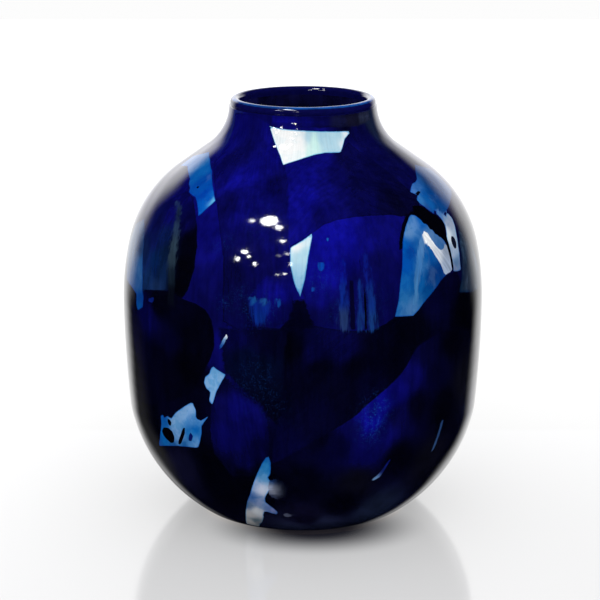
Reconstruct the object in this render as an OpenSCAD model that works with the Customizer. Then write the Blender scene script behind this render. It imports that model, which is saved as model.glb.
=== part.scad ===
// Large stoneware vase: an ovoid body on a turned foot, with a short flared neck and a rolled lip.
// The glazed outline is a chain of tangent arcs, drawn once and set in by the glaze and the wall.
// The clay is thrown in sections that key into each other, and the glaze is a skin fused over them.

/* [Belly] */
// Radius of the glazed vase where it is widest
belly_r = 178; // [170:1:220]

/* [Lower curve] */
// Radius of the long, nearly upright flank under the belly
flank_r = 1120; // [1000:10:1300]
// Degrees that the flank turns through
flank_sweep = 5.2; // [4.6:0.1:5.8]
// Radius of the quick turn at the bottom of the flank
turn_r = 90; // [75:1:110]
// Degrees that the quick turn takes
turn_sweep = 8.4; // [7:0.1:10]
// Radius of the round base
base_r = 156; // [150:1:162]
// Degrees that the round base turns through on its way to the foot
base_sweep = 44.4; // [42:0.1:46]

/* [Upper curve] */
// Radius of the wall above the belly
upper_r = 280; // [260:1:300]
// Degrees that the wall turns through above the belly
upper_sweep = 12.3; // [11.5:0.1:13]
// Radius of the shoulder
shoulder_r = 121; // [115:1:126]
// Degrees that the shoulder turns through
shoulder_sweep = 42.3; // [41.5:0.1:43]
// Length of the straight slope from the shoulder to the neck
slope_len = 36; // [32:1:38]
// Radius of the hollow curve of the neck
neck_r = 53; // [50:1:56]
// Degrees that the neck turns back towards upright
neck_sweep = 50.5; // [49:0.1:52]

/* [Mouth] */
// Radius of the glazed throat, the narrowest way in
throat_r = 61.5; // [59:0.5:62]
// Length of the straight throat below the lip
throat_len = 12; // [8:1:14]
// Height over which the inside narrows into the throat
throat_ease = 9; // [6:1:12]
// Radius of the rolled lip, glaze included
lip_r = 4.7; // [4.2:0.1:5]
// Height of the lip's centre above the top of the collar
lip_rise = 3.3; // [3:0.1:4]
// How far the waist under the lip is set in from the lip's tip
lip_waist = 0.8; // [0.4:0.1:1]

/* [Wall] */
// Thickness of the thrown clay wall
wall_t = 8; // [6:0.5:9]
// Thickness of the fired glaze, inside and out
glaze_t = 0.8; // [0.5:0.1:1]
// Thickness of the floor slab
floor_t = 12; // [8:1:16]

/* [Foot] */
// Height of the bare clay foot ring, which is also the depth of the recess under the floor
foot_h = 6; // [5:0.5:8]
// Inner radius of the foot ring
foot_in = 84; // [70:1:88]
// Width of the edge wiped round on the foot's outside
foot_bevel = 1.5; // [1:0.1:2]
// Height above the table where the glaze stops
glaze_line = 2.5; // [2:0.1:4]

/* [Joins between the thrown sections] */
// Height of the join between the lower wall and the belly wall
low_join = 95; // [80:1:110]
// Height of the join between the belly wall and the shoulder wall
high_join = 250; // [230:1:270]
// Height of the join between the shoulder wall and the neck collar
collar_join = 345; // [335:1:355]
// Width of the ridge that keys one section into the next
key_w = 3; // [2:0.5:3.5]
// Height of that ridge
key_h = 2; // [1.5:0.5:2.5]

/* [Hidden] */
$fn = 180;

// Longest step along an arc of the outline, in degrees
arc_step = 4;
// Degrees by which the base arc is drawn on past the foot, to be cut off level
overrun = 8;
// How fast the foot's wiped edge runs outwards as it rises
bevel_run = 3;

// Angle of the outward normal above level where one arc hands over to the next
flank_end = -flank_sweep;
turn_end = flank_end - turn_sweep;
base_end = turn_end - base_sweep;
upper_end = upper_sweep;
slope_a = upper_end + shoulder_sweep;
collar_a = slope_a - neck_sweep;

// The belly stands at the height that brings the end of the base arc down to the table
belly_z = -(flank_r - turn_r) * sin(flank_end) - (turn_r - base_r) * sin(turn_end)
          - base_r * sin(base_end);

// Centres of the arcs, each on the line of the normal that the two arcs share
flank_c = [belly_r - flank_r, belly_z];
turn_c = flank_c + (flank_r - turn_r) * normal(flank_end);
base_c = turn_c + (turn_r - base_r) * normal(turn_end);
upper_c = [belly_r - upper_r, belly_z];
shoulder_c = upper_c + (upper_r - shoulder_r) * normal(upper_end);
slope_top = shoulder_c + shoulder_r * normal(slope_a) + slope_len * normal(slope_a + 90);
neck_c = slope_top + neck_r * normal(slope_a);

// The collar ends, and the lip begins, where the neck has turned back by its whole sweep
collar_top = neck_c.y - neck_r * sin(collar_a);
throat_z = collar_top - throat_len;
lip_c = [throat_r + lip_r, collar_top + lip_rise];

// Depths of the surfaces below the glazed outline
clay_d = glaze_t;
liner_d = clay_d + wall_t;
inside_d = liner_d + glaze_t;
floor_top = foot_h + floor_t;

function normal(a) = [cos(a), sin(a)];

// Points along an arc about c, from angle a0 up to but not including a1
function arc(c, r, a0, a1) =
    let (n = ceil(abs(a1 - a0) / arc_step))
    [for (i = [0 : n - 1]) c + r * normal(a0 + (a1 - a0) * i / n)];

// The outline from below the foot to above the collar, set in by d
function outline(d) = concat(
    arc(base_c, base_r - d, base_end - overrun, turn_end),
    arc(turn_c, turn_r - d, turn_end, flank_end),
    arc(flank_c, flank_r - d, flank_end, 0),
    arc(upper_c, upper_r - d, 0, upper_end),
    arc(shoulder_c, shoulder_r - d, upper_end, slope_a),
    [slope_top - slope_len * normal(slope_a + 90) - d * normal(slope_a)],
    arc(neck_c, neck_r + d, slope_a + 180, 180),
    [neck_c - [neck_r + d, 0]]);

// The same outline on the inside of the wall, where it narrows into the straight throat
function inner_line(d) = concat(
    [for (p = outline(d)) if (p.y < throat_z - throat_ease) p],
    [[throat_r + inside_d - d, throat_z], [throat_r + inside_d - d, lip_c.y]]);

function radius_at(z, d) = lookup(z, [for (p = outline(d)) [p.y, p.x]]);

// Section through everything inside a line that runs upwards from the foot to the mouth
module within(line) {
    polygon(concat([[0, line[0].y]], line, [[0, line[len(line) - 1].y]]));
}

// Keeps what lies between two heights
module band(z0, z1) {
    intersection() {
        children();
        translate([0, z0]) square([2 * belly_r, z1 - z0]);
    }
}

// Section of the clay wall between two heights
module wall_section(z0, z1) {
    band(z0, z1) difference() {
        within(outline(clay_d));
        within(inner_line(liner_d));
    }
}

// Section of the ridge in the middle of the wall, on top of the section that ends at height z
module key_section(z) {
    mid_r = radius_at(z, clay_d + wall_t / 2);
    translate([mid_r, z])
        polygon([[-key_w / 2, -key_h], [key_w / 2, -key_h], [key_w / 2, 0],
                 [key_w / 4, key_h], [-key_w / 4, key_h], [-key_w / 2, 0]]);
}

// A thrown section from z0 to z1, with a groove for the ridge below it and a ridge of its own
module thrown(z0, z1, groove_below, ridge_above) {
    rotate_extrude() difference() {
        union() {
            wall_section(z0, z1);
            if (ridge_above) key_section(z1);
        }
        if (groove_below) key_section(z0);
    }
}

// Section of the lip rolled to radius r, closed down to the collar along its waist
module lip_section(r, foot_r) {
    waist_a = acos((r - lip_waist) / r);
    polygon(concat(
        [[lip_c.x - r, collar_top]],
        arc(lip_c, r, 180, -waist_a),
        [lip_c + r * normal(-waist_a), [foot_r, collar_top]]));
}

module foot_ring() {
    foot_out = radius_at(0, clay_d);
    color("tan") rotate_extrude() intersection() {
        within(outline(clay_d));
        polygon([[foot_in, foot_h], [foot_in, foot_bevel], [foot_in + foot_bevel, 0],
                 [foot_out - foot_bevel, 0], [foot_out - foot_bevel + bevel_run * foot_h, foot_h]]);
    }
}

module base_floor() {
    color("burlywood") rotate_extrude() band(foot_h, floor_top) within(outline(liner_d));
}

module lower_wall() {
    color("tan") thrown(foot_h, low_join, false, true);
}

module belly_wall() {
    color("burlywood") thrown(low_join, high_join, true, true);
}

module shoulder_wall() {
    color("tan") thrown(high_join, collar_join, true, true);
}

module neck_collar() {
    color("burlywood") thrown(collar_join, collar_top, true, false);
}

module rim_roll() {
    clay_r = lip_r - glaze_t;
    color("tan") rotate_extrude() lip_section(clay_r, lip_c.x + clay_r - lip_waist);
}

module body_glaze() {
    color("midnightblue") rotate_extrude() band(glaze_line, collar_top) difference() {
        within(outline(0));
        within(outline(clay_d));
    }
}

module lip_glaze() {
    clay_r = lip_r - glaze_t;
    color("royalblue") rotate_extrude() difference() {
        lip_section(lip_r, radius_at(collar_top, 0));
        lip_section(clay_r, lip_c.x + clay_r - lip_waist);
    }
}

module liner_glaze() {
    color("navy") rotate_extrude() difference() {
        band(floor_top, collar_top) within(inner_line(liner_d));
        band(floor_top + glaze_t, collar_top) within(inner_line(inside_d));
    }
}

foot_ring();
base_floor();
lower_wall();
belly_wall();
shoulder_wall();
neck_collar();
rim_roll();
body_glaze();
lip_glaze();
liner_glaze();
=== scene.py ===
import math

import bpy
import numpy as np
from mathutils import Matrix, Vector


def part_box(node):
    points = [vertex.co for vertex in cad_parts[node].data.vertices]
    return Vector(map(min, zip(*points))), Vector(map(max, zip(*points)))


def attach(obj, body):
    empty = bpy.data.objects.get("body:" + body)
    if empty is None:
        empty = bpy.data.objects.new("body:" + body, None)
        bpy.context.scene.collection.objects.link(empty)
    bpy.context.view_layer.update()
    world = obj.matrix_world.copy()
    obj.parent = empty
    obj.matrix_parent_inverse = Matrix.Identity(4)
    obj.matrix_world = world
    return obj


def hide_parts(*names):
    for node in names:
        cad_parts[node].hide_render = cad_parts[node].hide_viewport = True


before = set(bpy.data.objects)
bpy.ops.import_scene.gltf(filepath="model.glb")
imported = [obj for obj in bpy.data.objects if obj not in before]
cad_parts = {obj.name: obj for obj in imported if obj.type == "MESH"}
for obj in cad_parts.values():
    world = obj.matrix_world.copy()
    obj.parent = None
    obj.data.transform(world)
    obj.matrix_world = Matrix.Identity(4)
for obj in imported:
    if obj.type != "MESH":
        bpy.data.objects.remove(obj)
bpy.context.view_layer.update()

MM = 0.001

# ---------------------------------------------------------------- outline of the vase, in millimetres
# The chain of tangent arcs of the CAD model: radius of each arc, and the degrees that it turns through
BELLY_R = 178.0
FLANK_R, FLANK_SWEEP = 1120.0, 5.2
TURN_R, TURN_SWEEP = 90.0, 8.4
BASE_R, BASE_SWEEP = 156.0, 44.4
UPPER_R, UPPER_SWEEP = 280.0, 12.3
SHOULDER_R, SHOULDER_SWEEP = 121.0, 42.3
SLOPE_LEN = 36.0
NECK_R, NECK_SWEEP = 53.0, 50.5
THROAT_R, THROAT_LEN, THROAT_EASE = 61.5, 12.0, 9.0
LIP_R, LIP_RISE, LIP_WAIST = 4.7, 3.3, 0.8
GLAZE_T, WALL_T = 0.8, 8.0
LINER_D = GLAZE_T + WALL_T
INSIDE_D = LINER_D + GLAZE_T
FOOT_IN, FOOT_BEVEL, BEVEL_RUN = 84.0, 1.5, 3.0

GLAZE_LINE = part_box("body_glaze")[0][2] / MM
COLLAR_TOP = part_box("body_glaze")[1][2] / MM
FLOOR_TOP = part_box("liner_glaze")[0][2] / MM
FOOT_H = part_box("foot_ring")[1][2] / MM

# Columns round the painted vase and round the plainer pieces
COLUMNS, PLAIN_COLUMNS = 400, 256
# Spacing of the rows up the painted glaze, up the plainer pieces and on the hidden side of a glaze
ROW_STEP, PLAIN_STEP, BACK_STEP = 2.6, 3.0, 9.0
# Creases sharper than this many degrees stay sharp
CREASE = 50


def normal(degrees):
    """The unit vector at an angle above level, as (outwards, upwards)."""
    angle = math.radians(degrees)
    return np.array([math.cos(angle), math.sin(angle)])


def arc(centre, radius, start, stop, step=0.5):
    """Points along an arc, from start up to but not including stop, in degrees."""
    count = max(2, math.ceil(abs(stop - start) / step))
    return [centre + radius * normal(start + (stop - start) * i / count) for i in range(count)]


def outline(depth):
    """The (radius, height) points of the vase's side from foot to collar, set in by depth."""
    flank_end = -FLANK_SWEEP
    turn_end = flank_end - TURN_SWEEP
    base_end = turn_end - BASE_SWEEP
    slope_a = UPPER_SWEEP + SHOULDER_SWEEP
    belly_z = -(
        (FLANK_R - TURN_R) * normal(flank_end)[1]
        + (TURN_R - BASE_R) * normal(turn_end)[1]
        + BASE_R * normal(base_end)[1]
    )
    flank_c = np.array([BELLY_R - FLANK_R, belly_z])
    turn_c = flank_c + (FLANK_R - TURN_R) * normal(flank_end)
    base_c = turn_c + (TURN_R - BASE_R) * normal(turn_end)
    upper_c = np.array([BELLY_R - UPPER_R, belly_z])
    shoulder_c = upper_c + (UPPER_R - SHOULDER_R) * normal(UPPER_SWEEP)
    slope_top = shoulder_c + SHOULDER_R * normal(slope_a) + SLOPE_LEN * normal(slope_a + 90)
    neck_c = slope_top + NECK_R * normal(slope_a)
    collar_a = slope_a - NECK_SWEEP
    points = arc(base_c, BASE_R - depth, base_end - 8, turn_end)
    points += arc(turn_c, TURN_R - depth, turn_end, flank_end)
    points += arc(flank_c, FLANK_R - depth, flank_end, 0)
    points += arc(upper_c, UPPER_R - depth, 0, UPPER_SWEEP)
    points += arc(shoulder_c, SHOULDER_R - depth, UPPER_SWEEP, slope_a)
    points += arc(neck_c, NECK_R + depth, slope_a + 180, collar_a + 180)
    points += arc(neck_c, NECK_R + depth, collar_a + 180, 180)
    return np.array(points)


def resample(points, step):
    """The same line with points about a step apart, along its length."""
    points = np.asarray(points, float)
    along = np.concatenate([[0], np.cumsum(np.hypot(*np.diff(points, axis=0).T))])
    count = max(2, round(along[-1] / step) + 1)
    even = np.linspace(0, along[-1], count)
    return np.column_stack([np.interp(even, along, points[:, k]) for k in (0, 1)])


def cut(points, low, high):
    """The stretch of a rising line between two heights, with points exactly at both ends."""
    keep = points[(points[:, 1] > low) & (points[:, 1] < high)]
    ends = [[np.interp(z, points[:, 1], points[:, 0]), z] for z in (low, high)]
    return np.vstack([ends[:1], keep, ends[1:]])


SIDE = cut(outline(0), GLAZE_LINE, COLLAR_TOP)
SIDE_ALONG = np.concatenate([[0], np.cumsum(np.hypot(*np.diff(SIDE, axis=0).T))])


def along(height):
    """Distance up the surface from the glaze line to a height."""
    return np.interp(height, SIDE[:, 1], SIDE_ALONG)


# ---------------------------------------------------------------- lathe
def lathe(name, loop, columns=COLUMNS, wobble=None, uv_rows=None):
    """A closed skin turned from a loop of (radius, height) points, in millimetres.

    Points on the axis become one vertex. wobble(azimuth, point index, radius, height) gives the
    distance by which a vertex moves out. uv_rows says how far up the map each row lies.
    """
    loop = np.asarray(loop, float)
    turn = np.linspace(-math.pi, math.pi, columns, endpoint=False)
    rows, verts, spots = [], [], []
    for i, (radius, height) in enumerate(loop):
        azimuths = turn if radius > 1e-6 else turn[:1]
        out = radius + (wobble(azimuths, i, radius, height) if wobble else 0 * azimuths)
        rows.append(range(len(verts), len(verts) + len(azimuths)))
        ring = np.column_stack([out * np.sin(azimuths), -out * np.cos(azimuths)])
        verts.extend([(x * MM, y * MM, height * MM) for x, y in ring])
        spots.extend([(math.degrees(a), i) for a in azimuths])
    faces, corners = [], []
    for i in range(len(loop)):
        low, high = rows[i], rows[(i + 1) % len(loop)]
        if len(low) == 1 and len(high) == 1:
            continue
        for j in range(columns):
            k = (j + 1) % columns
            square = [(low, j, 0), (low, j + 1, 0), (high, j + 1, 1), (high, j, 1)]
            if len(low) == 1:
                square = [square[0], square[2], square[3]]
            if len(high) == 1:
                square = square[:3]
            faces.append([row[0] if len(row) == 1 else row[c % columns] for row, c, _ in square])
            corners.extend([(c / columns, i + up) for _, c, up in square])
    mesh = bpy.data.meshes.new(name)
    mesh.from_pydata(verts, [], faces)
    if uv_rows is not None:
        heights = np.append(uv_rows, 1.0)
        layer = mesh.uv_layers.new(name="OFBake")
        flat = [value for u, row in corners for value in (u, heights[row])]
        layer.data.foreach_set("uv", flat)
    mesh.shade_smooth()
    mesh.set_sharp_from_angle(angle=math.radians(CREASE))
    piece = bpy.data.objects.new(name, mesh)
    bpy.context.collection.objects.link(piece)
    return piece, np.array(spots)


# ---------------------------------------------------------------- paint, in patches and colour marks
# Places are (azimuth in degrees, height in millimetres). Azimuth 0 faces -Y and grows towards +X.
# A number as a colour is a strength of cobalt blue, from 0 (black) to 150 (the thinnest coat).
WHITE = (253, 254, 254)
FROST = (228, 238, 244)
MINT = (208, 243, 238)
ICE = (180, 216, 232)


def linear(colour):
    """A display colour, or a strength of cobalt, as the light it stands for."""
    if not isinstance(colour, tuple):
        colour = (1 + 0.082 * colour, 1 + 0.076 * colour, colour)
    value = np.array(colour) / 255.0
    return np.where(value < 0.04045, value / 12.92, ((value + 0.055) / 1.055) ** 2.4)


def rgba(colour):
    """A display colour as a shader socket takes it."""
    return (*linear(colour), 1.0)


# The ground coat covers the whole vase: (azimuth, height, colour)
GROUND = [
    (-60, 392, (24, 34, 104)), (-45, 385, 106), (-30, 398, 84), (-10, 400, 104), (10, 399, 92),
    (35, 398, 26), (60, 396, (22, 32, 58)), (40, 384, 60), (-28, 378, 78), (-40, 366, 82), (-33, 348, 114),
    (-30, 362, 80), (0, 356, 104), (3, 340, 122), (0, 325, 132), (-2, 310, 118), (35, 372, 74),
    (52, 372, 60), (-34, 315, 104), (-34, 290, 102), (-34, 265, 78), (-33, 245, 70), (-30, 225, 66),
    (10, 303, 138), (15, 305, 134), (20, 300, 112), (25, 282, 72), (30, 305, 92), (8, 275, 146),
    (5, 255, 104), (10, 240, 68), (3, 235, 70), (25, 255, 78), (24, 240, 70), (16, 260, 76), (-60, 345, 90),
    (-75, 340, 60), (-80, 260, 40), (-75, 200, 20), (-70, 140, 12), (-60, 90, 12), (-26, 205, 88),
    (-27, 195, 78), (-33, 170, 18), (-38, 155, 20), (-45, 70, (13, 13, 36)), (-30, 60, 12), (-25, 110, 30),
    (-30, 90, 10), (-15, 60, 12), (0, 70, 16), (0, 25, (10, 9, 30)), (10, 12, (32, 38, 68)),
    (-4, 8, (38, 44, 76)), (5, 120, 26), (20, 141, 116), (22, 131, 146), (25, 150, 126), (30, 160, 104),
    (35, 170, 76), (25, 120, 82), (20, 103, 78), (30, 133, 54), (15, 126, 72), (10, 112, 46), (38, 140, 20),
    (42, 187, 38), (46, 175, 34), (52, 190, 12), (50, 130, 9), (62, 150, (12, 12, 22)), (32, 92, 12),
    (46, 80, (9, 9, 20)), (18, 70, (9, 9, 22)), (30, 30, (24, 32, 56)), (14, 44, 12), (60, 60, 14),
    (75, 200, 10), (78, 270, 26), (70, 340, 60), (95, 390, 80), (130, 385, 100), (170, 392, 90),
    (-150, 388, 84), (-110, 392, 96), (-85, 385, 88), (100, 330, 100), (120, 250, 70), (100, 180, 24),
    (110, 110, 60), (95, 60, 16), (140, 320, 126), (150, 240, 104), (145, 160, 60), (150, 90, 30),
    (130, 40, 12), (175, 300, 90), (180, 210, 46), (170, 120, 88), (-175, 50, 14), (-150, 320, 120),
    (-155, 230, 84), (-150, 140, 40), (-140, 70, 20), (-120, 300, 66), (-110, 220, 90), (-120, 150, 34),
    (-100, 100, 46), (-95, 300, 96), (-95, 40, 10),
]

# Every patch is (layer, name, edge softness in mm, outline, marks, spine). A layer covers the ones
# before it. The outline is a closed line of places, and the spine is the way that the brush went.
PATCHES = [
    ("first", "dark shaft", 0.9,
     [(-64, 400), (-60, 375), (-57, 360), (-50, 351.5), (-45, 346.5), (-40, 339), (-36.2, 331), (-34, 326),
      (-31, 315), (-28, 300), (-26, 285), (-25.3, 270), (-25, 250), (-24.5, 228), (-20, 222), (-12, 226),
      (-6, 224), (0, 228), (1, 254), (-4, 282), (-5, 305), (-5.5, 320), (-6, 335), (-7.5, 350),
      (-10.5, 362), (-14, 368), (-21, 382), (-26, 396), (-40, 404)],
     [(-50, 388, 98), (-55, 372, 98), (-44, 362, 74), (-38, 366, 72), (-33, 348, 116), (-26, 352, 118),
      (-40, 345, 92), (-30, 330, 70), (-20, 358, 96), (-30, 378, 92), (-22, 332, 94), (-22, 318, 98),
      (-21, 300, 74), (-22, 270, 56), (-10, 318, 82), (-9, 300, 84), (-14, 280, 70), (-4, 262, 96),
      (-20, 240, 60), (-12, 345, 74), (-18, 372, 112), (-26, 390, 106), (-15, 335, 94)],
     [(-30, 390), (-20, 340), (-15, 230)]),
    ("first", "arch band", 0.8,
     [(-10.5, 361.5), (-7.5, 350), (-6, 335), (-5.5, 320), (-5, 303), (-4.2, 297.5), (3.2, 309.5), (7, 316),
      (12, 319.5), (18, 321), (25, 321), (33, 320), (38, 317), (42, 318), (48, 322), (52, 330), (49, 335),
      (47, 348), (42, 364), (32, 378), (24, 371), (10, 371), (0, 367)],
     [(-4, 356, 104), (2, 352, 110), (2, 340, 124), (0, 325, 124), (-2, 310, 112), (6, 322, 84),
      (10, 345, 94), (10, 330, 92), (16, 352, 72), (16, 336, 80), (25, 345, 58), (35, 358, 60),
      (26, 332, 66), (38, 328, 30), (44, 348, 54), (14, 322, 84), (24, 324, 66), (33, 324, 42),
      (25, 366, 56), (12, 365, 98), (46, 332, 40)],
     [(-6, 300), (6, 335), (24, 350), (52, 325)]),
    ("first", "left leaf", 1.0,
     [(-54, 333), (-48, 330), (-43, 320), (-39, 308), (-36.5, 292), (-36, 272), (-37.6, 252), (-40, 242),
      (-46, 247), (-52, 243), (-60, 238), (-62.5, 262), (-66, 280), (-68, 295), (-66, 310), (-60, 325)],
     [(-60, 303, (10, 14, 74)), (-58, 286, (9, 18, 74)), (-55, 270, (5, 30, 76)), (-57, 254, (14, 38, 82)),
      (-52, 248, (18, 38, 76)), (-51, 262, (8, 26, 58)), (-53.4, 262, (4, 20, 60)), (-50, 280, (8, 26, 60)),
      (-62, 275, (16, 32, 78)), (-53, 292, (8, 24, 76)), (-59, 268, (12, 30, 80)), (-55, 314, 84),
      (-44, 312, 60), (-40, 295, 14), (-40, 272, 8), (-42, 252, 8), (-51, 325, 78)],
     [(-50, 330), (-47, 240)]),
    ("first", "green wedge", 5.0,
     [(-26, 222), (-4, 226), (-4, 190), (-5, 150), (-7, 128), (-10, 138), (-13, 152), (-19, 166),
      (-24, 180)],
     [(-20, 212, 58), (-12, 215, 34), (-18, 195, (3, 8, 38)), (-12, 185, (3, 8, 34)), (-8, 165, (3, 5, 26)),
      (-8, 145, 18)],
     [(-15, 225), (-8, 140)]),
    ("second", "shadow under the pane", 4.0,
     [(-7, 222), (-5, 238), (-2.4, 252), (0.4, 252), (1.6, 240), (3.4, 226)], [(-2, 238, 26)],
     [(-3, 250), (-2, 224)]),
    ("first", "great dark stroke", 0.9,
     [(-5, 228), (2, 229), (8, 225), (14, 222), (21, 221), (25, 225), (28.5, 231), (34.5, 229.5), (40, 241),
      (50, 259), (57, 259), (61, 236), (70, 229), (84, 222), (88, 196), (70, 190), (56, 205), (46, 207),
      (38, 200), (36, 196), (33, 182), (30, 172), (26, 163), (20, 150), (16, 139), (10, 128), (4, 118),
      (-3, 104), (-7, 96), (-10, 92), (-9, 118), (-6, 160), (-6, 200)],
     [(-3, 205, 14), (-4, 170, 22), (3, 202, 58), (12, 203, 58), (5, 188, 20), (16, 188, 18), (22, 212, 24),
      (35, 216, 13), (45, 238, 38), (50, 248, 34), (12, 160, 22), (4, 140, 34), (20, 170, 34),
      (30, 190, 20), (60, 225, 8), (75, 210, 8), (-7, 110, 46), (8, 222, 56)],
     [(-8, 95), (12, 150), (40, 215), (80, 215)]),
    ("first", "low leaf", 2.2,
     [(-25, 177), (-18, 158), (-13, 150), (-11, 140), (-10.5, 118), (-11, 98), (-16, 78), (-24, 74),
      (-29, 96), (-30, 120), (-29, 150)],
     [(-20, 145, 92), (-16, 128, 78), (-22, 115, 80), (-14, 105, 54), (-19, 92, 60), (-25, 80, 34),
      (-27, 145, 62), (-27, 168, 40), (-21, 76, 14), (-14, 80, 16)],
     [(-24, 176), (-18, 80)]),
    ("second", "pale lobe", 3.0,
     [(-16, 254), (-13.5, 266), (-11, 273), (-7, 270), (-4.5, 262), (-3, 250), (-3, 232), (-9, 226),
      (-15, 230)],
     [(-11, 266, 108), (-7, 258, 122), (-11, 244, 96), (-6, 240, 74), (-12, 232, 84)],
     [(-10, 275), (-10, 225)]),
    ("second", "big left stroke", 0.9,
     [(-70, 222), (-64, 216), (-61, 226), (-59, 240), (-52, 244), (-46, 247), (-40, 243), (-34, 240.5),
      (-30.5, 236), (-28.5, 228), (-27.5, 215), (-27.5, 202), (-29, 190), (-31, 178), (-33, 165),
      (-36, 152), (-44, 140), (-56, 128), (-70, 122), (-84, 140), (-86, 190)],
     [(-50, 232, 12), (-40, 225, 22), (-55, 215, 66), (-35, 215, 14), (-46, 200, 38), (-62, 185, 34),
      (-50, 180, 20), (-38, 180, 10), (-55, 150, 24), (-70, 160, 12), (-44, 160, 15), (-76, 200, 20)],
     [(-40, 245), (-46, 180), (-66, 130)]),
    ("second", "collar band", 2.0,
     [(-24, 411), (60, 411), (62, 394), (45, 391), (30, 391.5), (0, 393), (-24, 395)],
     [(-14, 402, 124), (0, 400, 104), (14, 402, 64), (28, 400, (17, 19, 54)), (40, 398, (20, 20, 43)),
      (54, 398, (38, 44, 68))],
     [(-24, 400), (60, 400)]),
    # Panes where the pale ground shows through
    ("bare", "neck pane", 0.6,
     [(-25.5, 393), (-20, 380), (-14, 368), (-11, 361.3), (-8, 363), (0, 366.6), (7, 369.4), (14, 370.6),
      (24, 370.2), (26.5, 374), (30, 381), (37, 387.3), (20, 388.5), (0, 390), (-15, 391)],
     [(-10, 386, WHITE), (-8, 370, WHITE), (-2, 380, WHITE), (0.6, 370, WHITE), (0.6, 388, FROST),
      (3, 388, ICE), (3, 370, MINT), (8, 378, MINT), (13, 384, ICE), (18, 376, ICE), (22, 384, ICE),
      (22, 372, ICE), (26, 384, ICE), (32, 386, FROST), (27, 376, FROST)],
     [(0, 392), (0, 362)]),
    ("bare", "centre pane", 0.6,
     [(3.2, 309.5), (-0.5, 303), (-4.2, 297.5), (-4, 283), (-2.8, 268), (-1, 254), (0.5, 270), (1.6, 290)],
     [(1, 305, (214, 238, 248)), (-2, 298, WHITE), (-2, 290, (188, 226, 241)), (0, 292, (184, 224, 240)),
      (-1.5, 278, (166, 210, 235)), (-1, 266, (142, 192, 225)), (-1, 257, (131, 185, 220))],
     [(0, 310), (-1, 254)]),
    ("bare", "left crescent", 0.6,
     [(-70, 362), (-60, 357.5), (-50, 350.5), (-45, 344.5), (-40, 337.5), (-36.2, 330.3), (-38, 325),
      (-40.3, 316.3), (-42, 321.5), (-44.5, 327), (-47, 330.5), (-50, 331.5), (-52.6, 333), (-54, 336),
      (-56.5, 338), (-60, 342), (-66, 345), (-74, 348), (-84, 345), (-84, 354)],
     [(-66, 352, (40, 110, 176)), (-56, 347, (10, 92, 170)), (-50, 342, (4, 70, 160)),
      (-44, 335, (3, 66, 168)), (-36.8, 330.4, (110, 190, 232)), (-39.6, 331.4, (4, 88, 186)),
      (-40, 319, (8, 92, 186)), (-42, 325, (3, 84, 180)), (-46, 338, (3, 74, 164))],
     [(-60, 360), (-40, 318)]),
    ("bare", "far left pane", 1.0,
     [(-67, 292), (-64, 280), (-62, 262), (-60.5, 248), (-60, 238), (-59, 233), (-59.2, 223), (-62.8, 217),
      (-64, 222), (-64.3, 232.5), (-69, 236), (-76, 238), (-82, 262), (-80, 290), (-72, 300)],
     [(-66, 278, (42, 64, 106)), (-64, 258, (54, 96, 150)), (-63, 241, (44, 86, 144)),
      (-61.5, 231, (12, 62, 138)), (-62, 220, (10, 76, 144)), (-78, 270, (60, 86, 124))],
     [(-72, 300), (-64, 220)]),
    ("bare", "right pane", 0.6,
     [(28.5, 231), (30, 245), (31, 260), (32.4, 275), (33.5, 288), (34.6, 297), (36.2, 304), (38.2, 310),
      (40.5, 315), (42, 317.3), (44, 316), (46, 311), (47.5, 307), (49, 302), (50, 297.5), (52, 294),
      (53.5, 289), (54.3, 280), (54.2, 262), (51, 259.5), (48, 256), (44, 248), (40, 240.5), (37, 233),
      (35, 229)],
     [(38, 306, (92, 138, 192)), (42, 311, (84, 132, 192)), (45, 311, (14, 92, 176)),
      (34.4, 292, (2, 92, 180)), (34, 276, (1, 80, 172)), (36.6, 288, (2, 66, 150)),
      (32.4, 262, (16, 96, 172)), (31, 245, (34, 106, 170)), (30.4, 236, (32, 100, 166)),
      (35, 236, (72, 120, 176)), (36.6, 244, (32, 98, 160)), (38, 256, (12, 90, 160)),
      (41, 288, (28, 94, 162)), (40, 274, (40, 104, 168)), (43.6, 282, (8, 84, 158)),
      (44, 262, (3, 56, 124)), (48, 262, (5, 54, 122)), (47.6, 297, (80, 122, 176)),
      (50, 291, (66, 108, 164)), (41, 250, (4, 70, 136))],
     [(40, 312), (36, 232)]),
    ("first", "pane shade", 1.2,
     [(32.4, 290), (33.6, 300), (36.6, 311), (40, 318), (43, 321.5), (48, 317), (52, 306), (56, 292),
      (50, 280), (40, 296)],
     [(38, 314, 10), (50, 305, 6)], [(34, 295), (52, 306)]),
    ("bare", "right strip", 0.7,
     [(55.1, 260), (55.3, 291), (56.5, 297), (57.2, 302), (56.8, 308), (55.2, 313.5), (57, 316.5),
      (59, 314), (60, 308), (62.5, 311), (64, 305), (63.4, 298), (62, 290), (60.8, 280), (60.2, 270),
      (59.5, 258.5), (57, 259)],
     [(57, 312, (73, 117, 177)), (60, 303, (146, 158, 184)), (57, 293, (218, 228, 238)),
      (60.6, 290, (170, 182, 202)), (57, 278, (158, 174, 200)), (57.6, 264, (106, 122, 158))],
     [(60, 308), (57, 258)]),
    # Partly the pane's own paint and partly painted reflection: its greys stand for the grey sheen of the
    # bright backdrop on the right flank
    ("bare", "far right pane", 1.6,
     [(57, 239), (59, 248), (60.4, 258), (61.4, 270), (62.4, 282), (64.6, 293), (67.5, 299), (70.5, 291),
      (72.5, 279), (74.5, 263), (77.5, 247), (81, 235), (74, 231), (66, 233), (60, 237)],
     [(58.6, 243, (26, 40, 60)), (61, 252, (22, 32, 56)), (64, 248, (42, 50, 68)), (64, 272, (22, 34, 58)),
      (68, 255, (46, 54, 68)), (68, 286, (18, 28, 50)), (78, 265, (52, 66, 90))],
     [(60, 300), (60, 238)]),
    ("bare", "upper right pane", 0.5,
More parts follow.
